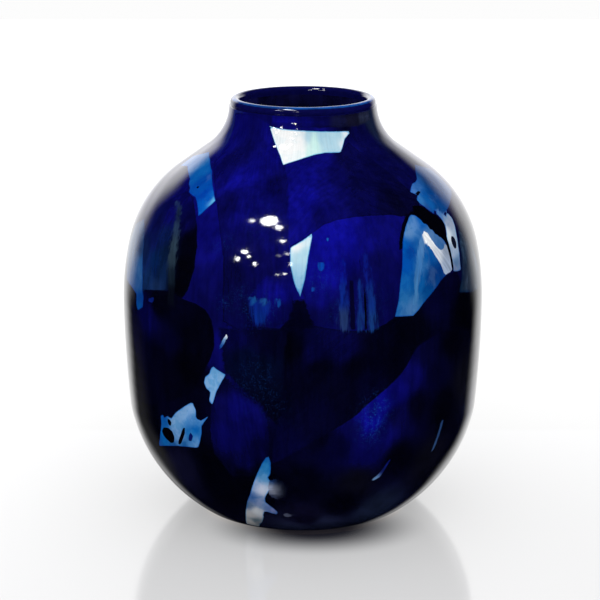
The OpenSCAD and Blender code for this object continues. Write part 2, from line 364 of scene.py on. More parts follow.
     [(48.7, 334.2), (51, 337), (54, 339.5), (57, 340), (60, 341.5), (65, 346), (72, 350), (84, 342),
      (82, 322), (72, 318), (66, 314), (62, 312), (60, 311), (58.5, 315), (56.5, 316.5), (55, 316),
      (54, 313.6), (52.6, 316.5), (51, 321), (49.6, 324), (49.2, 328), (51.5, 330), (50.5, 332)],
     [(50, 334, (72, 120, 192)), (55, 337.6, (54, 104, 172)), (55, 328, (10, 84, 158)),
      (55, 321, (12, 88, 164)), (60, 326, (3, 60, 128)), (52, 319, (34, 76, 142)),
      (51, 326, (50, 116, 182)), (66, 332, (26, 62, 114)), (58, 314, (8, 66, 130))],
     [(50, 336), (70, 322)]),
    ("bare", "small diamond", 0.5,
     [(-28.3, 184), (-26.5, 180.8), (-23.8, 177), (-25.4, 169), (-27.2, 159), (-28.6, 146.6), (-29.2, 145),
      (-29.8, 149.5), (-29.2, 158), (-30.6, 160.5), (-31.4, 166), (-30.9, 172), (-29.4, 175.5),
      (-28.9, 180)],
     [(-27, 180, (124, 172, 219)), (-28, 167, (126, 174, 222)), (-29, 150, (124, 172, 222))],
     [(-27, 184), (-29, 146)]),
    ("bare", "low left pane", 0.5,
     [(-51.4, 120.6), (-50, 122.4), (-49.4, 119), (-48.6, 121), (-48, 123), (-46, 121), (-43.6, 129),
      (-40, 137), (-36.2, 144.5), (-35.6, 140), (-35, 137), (-35.2, 129), (-33.5, 127), (-30.4, 133),
      (-33.2, 122), (-33.4, 114), (-34.4, 104), (-35.3, 98.5), (-39, 97), (-44, 94.5), (-50, 90), (-56, 85),
      (-53.6, 95), (-52, 106), (-51.4, 112)],
     [(-40, 130, (122, 166, 214)), (-37, 139, (128, 170, 218)), (-44, 118, (118, 162, 208)),
      (-43, 106, (110, 150, 200)), (-36, 116, (12, 100, 178)), (-38, 110, (28, 112, 184)),
      (-35.6, 106, (80, 136, 196)), (-37, 124, (92, 144, 204)), (-37, 99, (100, 142, 194)),
      (-50, 116, (12, 84, 160)), (-51, 97, (14, 98, 172)), (-54, 88, (10, 84, 156)),
      (-47, 92, (30, 84, 146)), (-41, 98, (34, 96, 158))],
     [(-38, 144), (-46, 92)]),
    ("bare", "bottom pane", 0.7,
     [(-11, 101.5), (-13, 92), (-15, 80), (-17, 67), (-19, 54), (-21, 44), (-23, 33), (-25.6, 20), (-30, 5),
      (-23, 4), (-21, 10), (-19, 14), (-17.2, 21), (-16.2, 28.5), (-15.3, 32.5), (-14, 32.6), (-12.6, 31),
      (-10.6, 29.6), (-9.9, 33), (-11.2, 38), (-12.6, 42), (-13.9, 46), (-13.6, 52), (-12, 60), (-10, 67),
      (-9.6, 71), (-10.9, 72.6), (-11.7, 76), (-10.6, 80.5), (-10.4, 86), (-10.2, 94)],
     [(-11, 97, (16, 100, 168)), (-12, 88, (40, 122, 184)), (-13, 77, (84, 144, 196)),
      (-14, 62, (198, 206, 228)), (-16.4, 66, (150, 170, 210)), (-18.6, 50, (62, 98, 156)),
      (-16, 46, (120, 138, 180)), (-21, 38, (92, 112, 146)), (-23, 26, (184, 184, 188)),
      (-19, 32, (206, 208, 214)), (-26, 12, (188, 188, 190)), (-21, 14, (122, 126, 134)),
      (-12, 36, (112, 122, 172))],
     [(-11, 100), (-24, 8)]),
    # Thin spots where drips and slits let some light through, and a painted glare low on the front
    ("thin", "white strip", 0.6,
     [(43, 295.5), (44.5, 291), (46, 285), (47.3, 277), (48.8, 270), (49.6, 263), (50.2, 259.6),
      (54.2, 261), (54.2, 284), (53.4, 288), (52, 283), (50, 282.5), (48.4, 287), (47.2, 293),
      (46.4, 299.5), (45, 302), (44, 300.5)],
     [(44.6, 298, WHITE), (46.4, 290, (244, 247, 250)), (48.4, 281, (214, 222, 232)),
      (53, 281, (144, 156, 176)), (51.6, 266, (156, 172, 196))],
     [(43, 303), (53, 262)]),
    ("thin", "pale streak", 3.4,
     [(42.6, 299), (44, 296), (42, 282), (39.6, 268), (38, 256), (36.6, 240), (35.4, 240), (36.2, 256),
      (37.2, 270), (39, 284)],
     [(42, 294, (80, 132, 190)), (39, 272, (60, 116, 176)), (37, 250, (70, 128, 184))],
     [(42, 298), (36.5, 240)]),
    ("thin", "green streak", 6.0,
     [(-56.5, 323.6), (-51, 322), (-48.4, 311), (-46, 299), (-44.6, 284), (-44, 268), (-43.2, 250),
      (-43.4, 234), (-45.2, 234), (-46.4, 250), (-47.4, 268), (-48, 284), (-49.2, 300), (-51, 313),
      (-54, 319.4)],
     [(-54.6, 321.4, (34, 52, 90)), (-50.6, 314, (22, 36, 66)), (-48, 302, (36, 54, 82)),
      (-46.6, 290, (44, 62, 78)), (-46, 278, (40, 56, 70)), (-45.4, 262, (20, 32, 46)),
      (-44.4, 244, (8, 12, 24))],
     [(-54, 323), (-48, 302), (-44, 240)]),
    ("thin", "right drip 1", 7.0,
     [(12.4, 287), (11.4, 268), (10.9, 240), (11.1, 223), (13, 223), (13.4, 240), (13.1, 268)],
     [(12.4, 278, (8, 24, 140)), (12, 256, (12, 40, 134)), (12, 230, (36, 58, 110))],
     [(12, 286), (12, 223)]),
    ("thin", "right drip 2", 6.0,
     [(17.2, 268), (16.6, 240), (17, 222), (18.4, 222), (18.2, 240), (17.7, 268)],
     [(17.5, 250, (14, 44, 124)), (17.7, 226, (18, 52, 120))], [(17.5, 266), (17.5, 222)]),
    ("thin", "right drip 3", 7.0,
     [(19.4, 290), (19.6, 250), (20, 221), (22, 221), (21.8, 250), (20.4, 290)],
     [(20, 276, (10, 24, 118)), (20.6, 250, (14, 44, 122)), (21, 225, (22, 62, 130))],
     [(20.5, 288), (20.5, 221)]),
    ("thin", "left drip glow", 6.0,
     [(-16.5, 249), (-10, 249), (-10.6, 239), (-12, 230), (-13.6, 226), (-15, 234)],
     [(-13, 245, (10, 36, 128)), (-13.5, 233, (9, 42, 130))], [(-14, 254), (-13, 224)]),
    ("thin", "left drip 1", 2.4, [(-16.3, 253), (-14.6, 253), (-14.3, 247), (-15, 243.4), (-15.9, 246)],
     [(-15.4, 250, (20, 76, 146))], [(-15, 253), (-15, 243)]),
    ("thin", "left drip 2", 2.4, [(-13, 252), (-10.8, 252.6), (-10.8, 248), (-12, 245), (-12.8, 248)],
     [(-11.8, 250, (24, 74, 142))], [(-12, 252), (-12, 245)]),
    ("thin", "left drip 3", 2.2, [(-8.3, 252.4), (-6.8, 252.4), (-6.9, 247), (-7.6, 244)],
     [(-7.5, 249, (14, 66, 146))], [(-7.5, 252), (-7.6, 244)]),
    ("thin", "slit by the wedge", 0.5,
     [(-23.2, 217), (-23, 213.5), (-24.3, 206), (-25.8, 200), (-26.3, 200.6), (-25, 208), (-24, 214)],
     [(-23.2, 215.6, WHITE), (-24, 210, (90, 140, 190)), (-24.9, 205, (24, 72, 150)),
      (-26, 201, (10, 60, 150))],
     [(-22, 219), (-26, 200)]),
    ("thin", "low right slit", 0.7,
     [(29.3, 91), (28.4, 90), (25.4, 74.4), (23.3, 69.8), (24, 68.2), (26.5, 71.6), (27.4, 78)],
     [(28.5, 88, (12, 24, 110)), (26.8, 79, (12, 20, 80)), (24.6, 70.8, (100, 138, 184))],
     [(29, 91), (24, 69)]),
    ("thin", "far right slit", 0.8,
     [(50.4, 117), (49.2, 116), (47.6, 100), (46.6, 86), (47.8, 88), (49, 102)],
     [(49, 108, (38, 66, 112)), (47.2, 90, (46, 74, 118))], [(50, 117), (47, 86)]),
    ("thin", "bubble a", 1.0, [(4.4, 285), (6.4, 285), (6.6, 281), (6, 276), (4.6, 279)],
     [(5.5, 281, (8, 66, 166))], [(5.5, 285), (5.5, 277)]),
    ("thin", "bubble b", 1.0, [(7.2, 305.5), (8.8, 306), (8, 302)], [(8, 304, (20, 90, 180))],
     [(8, 306), (8, 302)]),
    ("thin", "bubble c", 1.0, [(2.2, 263), (3.6, 263), (3.4, 259), (2.4, 259)], [(3, 261, (14, 64, 160))],
     [(3, 263), (3, 259)]),
    ("thin", "far left spot", 1.0,
     [(-56, 233.6), (-53, 236.4), (-52.6, 232.6), (-54.4, 230.4), (-56, 231.4)],
     [(-54, 233, (10, 30, 110))], [(-56, 233), (-53, 233)]),
    # Painted reflection: a soft pale glare from the table, painted low on the front of the vase
    ("thin", "bloom", 3.0,
     [(-12, 66), (-11.3, 73), (-9, 75.5), (-6.6, 72), (-5.6, 64), (-6.2, 55), (-8.6, 50), (-11.6, 54)],
     [(-11.2, 63, (158, 168, 194)), (-10, 60, (140, 146, 164)), (-9, 63, (92, 98, 114)),
      (-8.2, 58, (56, 62, 80)), (-6.2, 64, (6, 8, 24)), (-7.6, 73, (5, 9, 28)), (-10.4, 74.5, (18, 44, 92)),
      (-8, 51.5, (6, 7, 22)), (-11, 53.5, (34, 44, 74)), (-6.4, 57, (5, 6, 20))],
     [(-12, 62), (-7, 62)]),
    ("thin", "low dash", 1.4,
     [(-7.9, 31.4), (-6, 32), (-5, 30.2), (-1.4, 32), (-5, 28), (-6.4, 26), (-7.6, 27.4)],
     [(-6.8, 29, (84, 90, 112)), (-2.6, 31, (34, 38, 62))], [(-7, 29), (-1, 32)]),
    # Dark marks on top of the panes
    ("marks", "ragged stroke", 0.5,
     [(45, 324), (48.6, 323), (50.6, 320.6), (52.2, 316), (53.6, 312.6), (54.6, 314), (55.6, 309),
      (57, 306), (56.8, 301), (55.8, 296), (55, 290), (53.4, 290), (52.6, 294), (51.6, 293), (50.8, 297),
      (49.8, 297), (49.4, 302), (48.2, 301.6), (47.6, 307), (46.2, 308), (45.4, 313), (43.5, 317)],
     [(50, 310, 8)], [(46, 322), (55, 292)]),
    ("marks", "thin line", 0.5, [(53.9, 289), (54.4, 292), (55.4, 292), (55.4, 262), (54.3, 261)],
     [(55, 275, 6)], [(55, 290), (55, 262)]),
    ("marks", "strip oval", 0.6,
     [(57.4, 289), (58.5, 291.3), (59.8, 290), (60.3, 284.6), (59.6, 280), (58.4, 279.2), (57.4, 283)],
     [(58.5, 286, (14, 18, 38))], [(58, 291), (59, 281)]),
    ("marks", "upper slit", 0.5, [(50, 332), (54, 333.6), (55, 332.6), (51.5, 330)], [(52, 332, 16)],
     [(50, 332), (54, 333)]),
    ("marks", "crescent dot", 0.7, [(-50.6, 339), (-49.2, 339), (-49, 337), (-50.4, 337)], [(-50, 338, 40)],
     [(-50, 339), (-50, 337)]),
    ("marks", "blob", 0.5,
     [(-51.6, 104), (-50.5, 109), (-48, 110.6), (-46, 108.4), (-45.2, 103), (-45.9, 97), (-47.4, 94.6),
      (-49.4, 96.8), (-51, 100)],
     [(-48.5, 103, 6)], [(-50, 110), (-46, 96)]),
    ("marks", "small blob", 0.5, [(-47.9, 120), (-46.6, 119.6), (-45.8, 116), (-46.7, 113.2), (-47.9, 115)],
     [(-47, 116, 6)], [(-47, 119), (-47, 113)]),
    ("marks", "slash", 0.5,
     [(-40.9, 115.4), (-40, 116.2), (-40.2, 110), (-42.2, 99), (-44.2, 94), (-43.6, 100), (-41.9, 109)],
     [(-42, 104, 8)], [(-40, 116), (-44, 95)]),
    ("marks", "small oval", 0.6, [(-37.5, 113.8), (-36.8, 109), (-37.7, 103.8), (-39, 103.6), (-38.6, 109)],
     [(-38, 108, (6, 20, 90))], [(-37, 112), (-38, 104)]),
    ("marks", "drip gap 1", 1.4, [(14.2, 268), (15.4, 268), (15.6, 223), (14, 223)], [(14.8, 245, 40)],
     [(15, 268), (15, 223)]),
    ("marks", "drip gap 2", 0.8,
     [(17.8, 290), (18.4, 280), (19.2, 250), (19.2, 221), (18.6, 221), (18.4, 250)], [(18.8, 250, 14)],
     [(18, 290), (19, 221)]),
    ("marks", "pane bite", 0.6, [(-10.6, 80), (-9.6, 80), (-10, 72), (-11, 74)], [(-10, 76, 12)],
     [(-10, 80), (-10, 72)]),
]
LAYERS = ["first", "second", "bare", "thin", "marks"]

# The far side repeats the near side's shapes in the same hand, each turned over and moved:
# (azimuth that its azimuth 0 moves to, how far up it moves, names)
ECHOES = [
    (178, 0, ["dark shaft", "centre pane", "bottom pane", "low dash"]),
    (163, 3, ["arch band", "bubble a", "bubble b", "right drip 1", "right drip 2", "drip gap 1"]),
    (152, -6, ["great dark stroke"]),
    (194, 0, ["right pane", "white strip", "pale streak", "ragged stroke", "thin line"]),
    (48, -4, ["left leaf", "green streak"]),
    (-162, 0, ["neck pane"]),
    (90, 6, ["low left pane", "blob", "small blob", "slash", "small oval"]),
    (-170, 44, ["small diamond", "slit by the wedge"]),
    (-187, -24, ["left crescent"]),
    (-163, 8, ["big left stroke"]),
    (-128, -2, ["low leaf"]),
    (215, -10, ["low right slit", "far right slit"]),
]


def echoed():
    """The patches that the echoes ask for, in the order in which they are listed."""
    near_side = {name: rest for _, name, *rest in PATCHES}
    layer_of = {name: layer for layer, name, *_ in PATCHES}
    result = []
    for turn, lift, names in ECHOES:
        for name in names:
            softness, border, marks, spine = near_side[name]
            border = [(turn - azimuth, height + lift) for azimuth, height in border]
            marks = [(turn - azimuth, height + lift, colour) for azimuth, height, colour in marks]
            spine = [(turn - azimuth, height + lift) for azimuth, height in spine]
            result.append((layer_of[name], "far " + name, softness, border, marks, spine))
    return result


PATCHES += echoed()

# Where fine pale specks lie in the cobalt: (azimuth, height, reach in mm, strength)
SPECKLED = [
    (23, 147, 11, 1.0), (22, 135, 13, 1.0), (21, 123, 11, 0.8), (-13, 240, 14, 0.6), (-24, 246, 9, 0.4),
    (-20, 256, 9, 0.3), (-14, 172, 20, 0.25), (-9, 150, 14, 0.2), (5, 270, 14, 0.3), (12, 240, 14, 0.3),
    (20, 244, 14, 0.3), (-27, 296, 9, 0.3), (-14, 318, 16, 0.2), (160, 140, 24, 0.8), (-110, 260, 22, 0.5),
    (110, 300, 22, 0.4), (-150, 120, 20, 0.5), (70, 120, 20, 0.4),
]


# ---------------------------------------------------------------- paint, worked out at every vertex
DEGREE = math.radians(1) * BELLY_R


def flat(azimuth, height):
    """A place on the vase's side as millimetres across and up its unrolled surface."""
    return np.stack([np.asarray(azimuth, float) * DEGREE, along(height)], axis=-1)


def near(azimuth, centre):
    """The same azimuths, each brought to within half a turn of the centre."""
    return (azimuth - centre + 180) % 360 - 180 + centre


def to_segments(places, corners, closed):
    """For every place, the nearest of a line's segments: distance, way along it and side of it."""
    starts = corners if closed else corners[:-1]
    stops = np.roll(corners, -1, axis=0) if closed else corners[1:]
    best = np.full(len(places), np.inf)
    way, side = np.zeros(len(places)), np.zeros(len(places))
    travelled = 0.0
    for start, stop in zip(starts, stops):
        step = stop - start
        length = math.hypot(*step)
        offset = places - start
        share = np.clip(offset @ step / length**2, 0, 1)
        gap = np.hypot(*(offset - share[:, None] * step).T)
        closer = gap < best
        across = (offset[:, 0] * step[1] - offset[:, 1] * step[0]) / length
        best = np.where(closer, gap, best)
        way = np.where(closer, travelled + offset @ step / length, way)
        side = np.where(closer, across, side)
        travelled += length
    return best, way, side


def inside(places, corners):
    """Which places lie inside a closed line."""
    result = np.zeros(len(places), bool)
    for (x0, y0), (x1, y1) in zip(corners, np.roll(corners, -1, axis=0)):
        crosses = (y0 > places[:, 1]) != (y1 > places[:, 1])
        where = x0 + (places[:, 1] - y0) * (x1 - x0) / (y1 - y0 if y1 != y0 else 1)
        result ^= crosses & (places[:, 0] < where)
    return result


def blend_marks(azimuth, height, marks):
    """Colours that run smoothly from mark to mark, each strongest near its own mark."""
    total = np.zeros((len(azimuth), 3))
    weights = np.zeros(len(azimuth))
    for mark_azimuth, mark_height, colour in marks:
        across = near(azimuth, mark_azimuth) - mark_azimuth
        gap = np.hypot(across * DEGREE, along(height) - along(mark_height))
        weight = 1 / (gap**2 + 16) ** 2
        total += weight[:, None] * np.sqrt(linear(colour))
        weights += weight
    return (total / weights[:, None]) ** 2


def paint(piece, azimuth, height):
    """Stores what the glaze material reads: each layer's edge, colour and brush directions."""
    count = len(azimuth)
    fields = {"ground_colour": blend_marks(azimuth, height, GROUND)}
    for layer in LAYERS:
        edge = np.full(count, 60.0)
        colour = np.zeros((count, 3))
        brush = np.zeros((count, 3))
        for seed, (owner, _, softness, border, marks, spine) in enumerate(PATCHES):
            if owner != layer:
                continue
            corners = flat(*np.array(border, float).T)
            middle = (min(p[0] for p in border) + max(p[0] for p in border)) / 2
            places = flat(near(azimuth, middle), height)
            gap = to_segments(places, corners, True)[0]
            gap = np.where(inside(places, corners), -gap, gap) / softness
            closer = gap < edge
            _, way, side = to_segments(places, flat(*np.array(spine, float).T), False)
            shade = blend_marks(azimuth, height, marks)
            edge = np.where(closer, gap, edge)
            colour = np.where(closer[:, None], shade, colour)
            brush = np.where(closer[:, None], np.column_stack([side, way, 0 * way + 37.0 * seed]), brush)
        fields[layer + "_edge"] = edge
        fields[layer + "_colour"] = colour
        fields[layer + "_brush"] = brush
    speckle = np.zeros(count)
    for centre, level, reach, strength in SPECKLED:
        across = (near(azimuth, centre) - centre) * DEGREE
        gap = np.hypot(across, along(height) - along(level))
        speckle = np.maximum(speckle, strength * np.exp(-((gap / reach) ** 2)))
    fields["speckle"] = speckle
    for name, values in fields.items():
        kind = "FLOAT" if values.ndim == 1 else "FLOAT_VECTOR"
        data = piece.data.attributes.new(name, kind, "POINT").data
        data.foreach_set("value" if kind == "FLOAT" else "vector", values.ravel())


# ---------------------------------------------------------------- node helpers
class Graph:
    """Short calls that add nodes to one material or world."""

    def __init__(self, owner):
        owner.use_nodes = True
        self.owner = owner
        self.tree = owner.node_tree
        self.tree.nodes.clear()

    def put(self, socket, value):
        if isinstance(value, bpy.types.NodeSocket):
            self.tree.links.new(value, socket)
        else:
            socket.default_value = value

    def node(self, kind, sockets=None, **settings):
        made = self.tree.nodes.new("ShaderNode" + kind)
        for key, value in settings.items():
            setattr(made, key, value)
        for key, value in (sockets or {}).items():
            self.put(made.inputs[key], value)
        return made

    def math(self, operation, first, second=0.0, third=0.0):
        sockets = {0: first, 1: second, 2: third}
        return self.node("Math", sockets, operation=operation).outputs[0]

    def times(self, first, *others):
        """The product of two or more values."""
        for other in others:
            first = self.math("MULTIPLY", first, other)
        return first

    def length(self, first, second):
        """How far a point with these two coordinates is from the origin."""
        return self.math("SQRT", self.math("ADD", self.times(first, first), self.times(second, second)))

    def scaled(self, vector, factors):
        return self.node("VectorMath", {0: vector, 1: factors}, operation="MULTIPLY").outputs[0]

    def noise(self, vector, scale, detail=2.0, roughness=0.5, distortion=0.0):
        sockets = {"Vector": vector, "Scale": scale, "Detail": detail, "Roughness": roughness,
                   "Distortion": distortion}
        return self.node("TexNoise", sockets).outputs[0]

    def cells(self, vector, scale, randomness=1.0):
        sockets = {"Vector": vector, "Scale": scale, "Randomness": randomness}
        return self.node("TexVoronoi", sockets).outputs["Distance"]

    def ramp(self, value, low, high, at_low=0.0, at_high=1.0):
        sockets = {0: value, 1: low, 2: high, 3: at_low, 4: at_high}
        return self.node("MapRange", sockets, interpolation_type="SMOOTHSTEP").outputs[0]

    def mix(self, factor, first, second, blend="MIX"):
        made = self.node("Mix", {0: factor}, data_type="RGBA", blend_type=blend)
        self.put(made.inputs[6], first)
        self.put(made.inputs[7], second)
        return made.outputs[2]

    def tinted(self, colour, tint):
        """A colour multiplied by another."""
        return self.mix(1.0, colour, tint, "MULTIPLY")

    def toned(self, colour, tone):
        """A colour made darker or lighter by a value about 1."""
        grey = self.node("CombineColor", {0: tone, 1: tone, 2: tone}).outputs[0]
        return self.tinted(colour, grey)

    def attribute(self, name, output="Vector"):
        return self.node("Attribute", attribute_name=name).outputs[output]

    def position(self):
        return self.node("TexCoord").outputs["Object"]


def begin_material(name):
    """A new material's graph, and the place on the object that its patterns follow."""
    graph = Graph(bpy.data.materials.new(name))
    return graph, graph.position()


def finish_material(graph, colour, roughness, relief, **constants):
    """Ends a material in the Principled shader, with constants set on its own sockets."""
    shader = graph.node("BsdfPrincipled", {"Base Color": colour, "Roughness": roughness})
    for key, value in constants.items():
        shader.inputs[key.replace("_", " ")].default_value = value
    if relief is not None:
        graph.put(shader.inputs["Normal"], relief)
    output = graph.node("OutputMaterial")
    graph.put(output.inputs["Surface"], shader.outputs[0])
    return graph.owner


def bump(graph, height, distance, under=None):
    """Relief of a height in metres, on top of the relief under it."""
    sockets = {"Height": height, "Strength": 1.0, "Distance": distance}
    if under is not None:
        sockets["Normal"] = under
    return graph.node("Bump", sockets).outputs[0]


# ---------------------------------------------------------------- materials
def orange_peel(graph, place):
    """The slight unevenness of a thick fired glaze: long swells, a fine peel and pinpricks."""
    swell = bump(graph, graph.noise(place, 24.0, 1.0, 0.4), 0.22 * MM)
    peel = bump(graph, graph.noise(place, 420.0, 2.0, 0.6), 0.04 * MM, swell)
    return bump(graph, graph.noise(place, 1000.0, 1.0, 0.5), 0.005 * MM, peel)


def brushed(graph, layer, strength):
    """A layer's colour with the streaks that the brush left along its way."""
    colour = graph.attribute(layer + "_colour")
    ways = graph.attribute(layer + "_brush")
    streaks = graph.noise(graph.scaled(ways, (0.34, 0.030, 1.0)), 1.0, 3.0, 0.6)
    return graph.toned(colour, graph.ramp(streaks, 0.28, 0.74, 1 - strength, 1 + strength))


def layer_mask(graph, layer, wander, rag):
    """One inside a layer's outline and zero outside, with an edge that wanders a little."""
    edge = graph.math("MULTIPLY_ADD", wander, rag, graph.attribute(layer + "_edge", "Fac"))
    return graph.ramp(edge, 0.35, -0.35)


def painted_glaze():
    """Glossy glaze with cobalt coats over a pale ground, read from the painted attributes."""
    graph, place = begin_material("painted cobalt glaze")
    fine = graph.math("SUBTRACT", graph.noise(place, 330.0, 3.0, 0.6), 0.5)
    clouds = graph.noise(place, 21.0, 3.0, 0.55, 0.6)
    tall = graph.scaled(place, (1.0, 1.0, 0.10))
    rain = graph.noise(tall, 150.0, 3.0, 0.6)
    mottle = graph.noise(place, 95.0, 4.0, 0.65)

    depth = graph.times(graph.ramp(clouds, 0.25, 0.75, 0.72, 1.28),
                        graph.ramp(rain, 0.3, 0.7, 0.80, 1.22),
                        graph.ramp(mottle, 0.3, 0.7, 0.94, 1.06))

    colour = graph.toned(graph.attribute("ground_colour"), depth)
    for layer in ("first", "second"):
        coat = graph.toned(brushed(graph, layer, 0.16), depth)
        rim = graph.ramp(graph.attribute(layer + "_edge", "Fac"), -2.6, -0.2, 0.0, 0.35)
        coat = graph.mix(rim, coat, (0.001, 0.001, 0.012, 1.0))
        colour = graph.mix(layer_mask(graph, layer, fine, 1.6), colour, coat)

    amount = graph.math("MULTIPLY_ADD", graph.attribute("speckle", "Fac"), 0.62, 0.012)
    specks = graph.times(graph.ramp(graph.noise(place, 900.0, 3.0, 0.7), 0.50, 0.66),
                         graph.ramp(graph.noise(place, 260.0, 2.0, 0.6), 0.40, 0.60), amount)
    colour = graph.mix(specks, colour, (0.010, 0.11, 0.50, 1.0))

    pane = brushed(graph, "bare", 0.05)
    redness = graph.node("SeparateColor", {0: pane}).outputs[0]
    water = graph.ramp(redness, 0.50, 0.10, 0.12, 0.62)
    stain = graph.ramp(graph.noise(place, 105.0, 4.0, 0.6, 0.5), 0.44, 0.60)
    pane = graph.mix(graph.times(stain, water), pane, graph.tinted(pane, (0.28, 0.70, 0.86, 1.0)))
    wash = graph.ramp(graph.noise(graph.scaled(place, (1.0, 1.0, 0.45)), 70.0, 4.0, 0.62, 0.3), 0.52, 0.68)
    pane = graph.mix(graph.times(wash, water, 0.12), pane, (0.26, 0.50, 0.78, 1.0))
    fringe = graph.ramp(graph.attribute("bare_edge", "Fac"), -2.2, -0.4, 0.0, 0.72)
    pane = graph.mix(fringe, pane, graph.tinted(pane, (0.08, 0.50, 0.92, 1.0)))
    colour = graph.mix(layer_mask(graph, "bare", fine, 1.3), colour, pane)

    streaky = graph.math("SUBTRACT", graph.noise(tall, 420.0, 3.0, 0.65), 0.5)
    thin = brushed(graph, "thin", 0.25)
    colour = graph.mix(graph.times(layer_mask(graph, "thin", streaky, 2.2), 0.92), colour, thin)
    colour = graph.mix(layer_mask(graph, "marks", fine, 1.2), colour, graph.attribute("marks_colour"))

    roughness = graph.ramp(graph.noise(place, 60.0, 3.0), 0.3, 0.7, 0.035, 0.07)
    return finish_material(graph, colour, roughness, orange_peel(graph, place), IOR=1.5)


def lip_glaze():
    """Blue that breaks paler where the glaze runs thin over the roll of the lip."""
    graph, place = begin_material("lip glaze")
    axes = graph.node("SeparateXYZ", {0: place}).outputs
    out = graph.math("SUBTRACT", graph.length(axes[0], axes[1]), (THROAT_R + LIP_R) * MM)
    up = graph.math("SUBTRACT", axes[2], (COLLAR_TOP + LIP_RISE) * MM)
    turned = graph.math("ARCTAN2", up, out)
    clouds = graph.noise(place, 30.0, 3.0, 0.6)
    breaks = graph.times(graph.ramp(turned, math.radians(36), math.radians(54)),
                         graph.ramp(turned, math.radians(104), math.radians(84)),
                         graph.ramp(clouds, 0.28, 0.66, 0.45, 1.0))
    colour = graph.mix(breaks, rgba((9, 10, 70)), rgba((16, 84, 168)))
    colour = graph.toned(colour, graph.ramp(graph.noise(place, 240.0, 3.0), 0.3, 0.7, 0.85, 1.15))
    roughness = graph.ramp(clouds, 0.3, 0.7, 0.04, 0.08)
    return finish_material(graph, colour, roughness, orange_peel(graph, place), IOR=1.5)


def liner_glaze():
    """Dark blue glaze poured inside, thinner over the throwing rings."""
    graph, place = begin_material("liner glaze")
    runs = graph.noise(graph.scaled(place, (1.0, 1.0, 0.15)), 60.0, 4.0, 0.6)
    clouds = graph.noise(place, 18.0, 3.0, 0.6)
    tone = graph.times(graph.ramp(runs, 0.3, 0.7, 0.6, 1.4), graph.ramp(clouds, 0.34, 0.64, 0.35, 1.75))
    colour = graph.toned(rgba((13, 13, 56)), tone)
    roughness = graph.ramp(clouds, 0.3, 0.7, 0.05, 0.10)
    return finish_material(graph, colour, roughness, orange_peel(graph, place), IOR=1.5)


def bare_clay():
    """Fired stoneware: warm buff with iron specks, grit and a toasted flush."""
    graph, place = begin_material("bare stoneware")
    flush = graph.ramp(graph.noise(place, 16.0, 3.0, 0.6), 0.40, 0.68)
    colour = graph.mix(flush, rgba((176, 148, 118)), rgba((140, 98, 66)))
    grain = graph.noise(place, 900.0, 3.0, 0.7)
    colour = graph.toned(colour, graph.ramp(grain, 0.25, 0.75, 0.78, 1.2))
    specks = graph.ramp(graph.cells(place, 420.0), 0.20, 0.08)
    some = graph.ramp(graph.noise(place, 210.0, 1.0), 0.52, 0.60)
    colour = graph.mix(graph.times(specks, some), colour, rgba((48, 32, 24)))
    roughness = graph.ramp(grain, 0.3, 0.7, 0.72, 0.92)
    return finish_material(graph, colour, roughness, bump(graph, grain, 0.15 * MM), IOR=1.5)


# ---------------------------------------------------------------- pieces
def swells(azimuth, height):
    """How far the glazed side stands out or in, in mm: faint throwing rings and slow unevenness."""
    rings = 0.012 * np.sin(2 * math.pi * (height / 13.0 + azimuth / (2 * math.pi)))
    slow = 0.14 * np.sin(3 * azimuth + height / 41.0) * np.sin(height / 33.0 + 1.3)
    slow += 0.06 * np.sin(7 * azimuth - height / 23.0 + 2.0)
    return rings + slow - 0.1


def painted_coat():
    """The glaze over the whole outside, from the foot's glaze line to the lip."""
    side = resample(SIDE, ROW_STEP)
    back = resample(cut(outline(GLAZE_T), GLAZE_LINE, COLLAR_TOP), BACK_STEP)[::-1]
    loop = np.vstack([side, back])

    def wobble(azimuth, index, _, height):
        if index >= len(side):
            return 0 * azimuth
        ease = min(1.0, (height - GLAZE_LINE) / 12.0, (COLLAR_TOP - height) / 12.0)
        return ease * swells(azimuth, height)

    front_share = 0.97
    uv_rows = np.concatenate([
        np.linspace(0, front_share, len(side)),
        np.linspace(front_share, 1.0, len(back) + 1)[1:],
    ])[: len(loop)]
    piece, spots = lathe("painted_glaze_coat", loop, wobble=wobble, uv_rows=uv_rows)
    paint(piece, spots[:, 0], loop[spots[:, 1].astype(int), 1])
    return piece


def lip_arc(radius):
    """The rolled lip's section at a radius, from its inner foot over the top to its waist."""
    centre = np.array([THROAT_R + LIP_R, COLLAR_TOP + LIP_RISE])
    waist = math.degrees(math.acos((radius - LIP_WAIST) / radius))
    rolled = arc(centre, radius, 180, -waist, 6) + [centre + radius * normal(-waist)]
    return [np.array([centre[0] - radius, COLLAR_TOP])] + rolled


def lip_coat():
    """The glaze that wraps the rolled lip."""
    outer = lip_arc(LIP_R) + [np.array([SIDE[-1][0], COLLAR_TOP])]
    inner = lip_arc(LIP_R - GLAZE_T)
    tip = THROAT_R + LIP_R + LIP_R - GLAZE_T - LIP_WAIST
    inner.append(np.array([tip, COLLAR_TOP]))
    loop = np.array(outer + inner[::-1])[::-1]

    def wobble(azimuth, index, radius, height):
        if height <= COLLAR_TOP + 0.1 or index < len(inner):
            return 0 * azimuth
        return 0.12 * np.sin(5 * azimuth + 1.0) + 0.08 * np.sin(11 * azimuth)

    return lathe("lip_glaze_coat", loop, wobble=wobble)[0]


def inner_line(depth):
    """The inside of the wall from the floor up to where it narrows into the straight throat."""
    throat_z = COLLAR_TOP - THROAT_LEN
    line = outline(depth)
    line = line[line[:, 1] < throat_z - THROAT_EASE]
    radius = THROAT_R + INSIDE_D - depth
    return np.vstack([line, [[radius, throat_z], [radius, COLLAR_TOP]]])


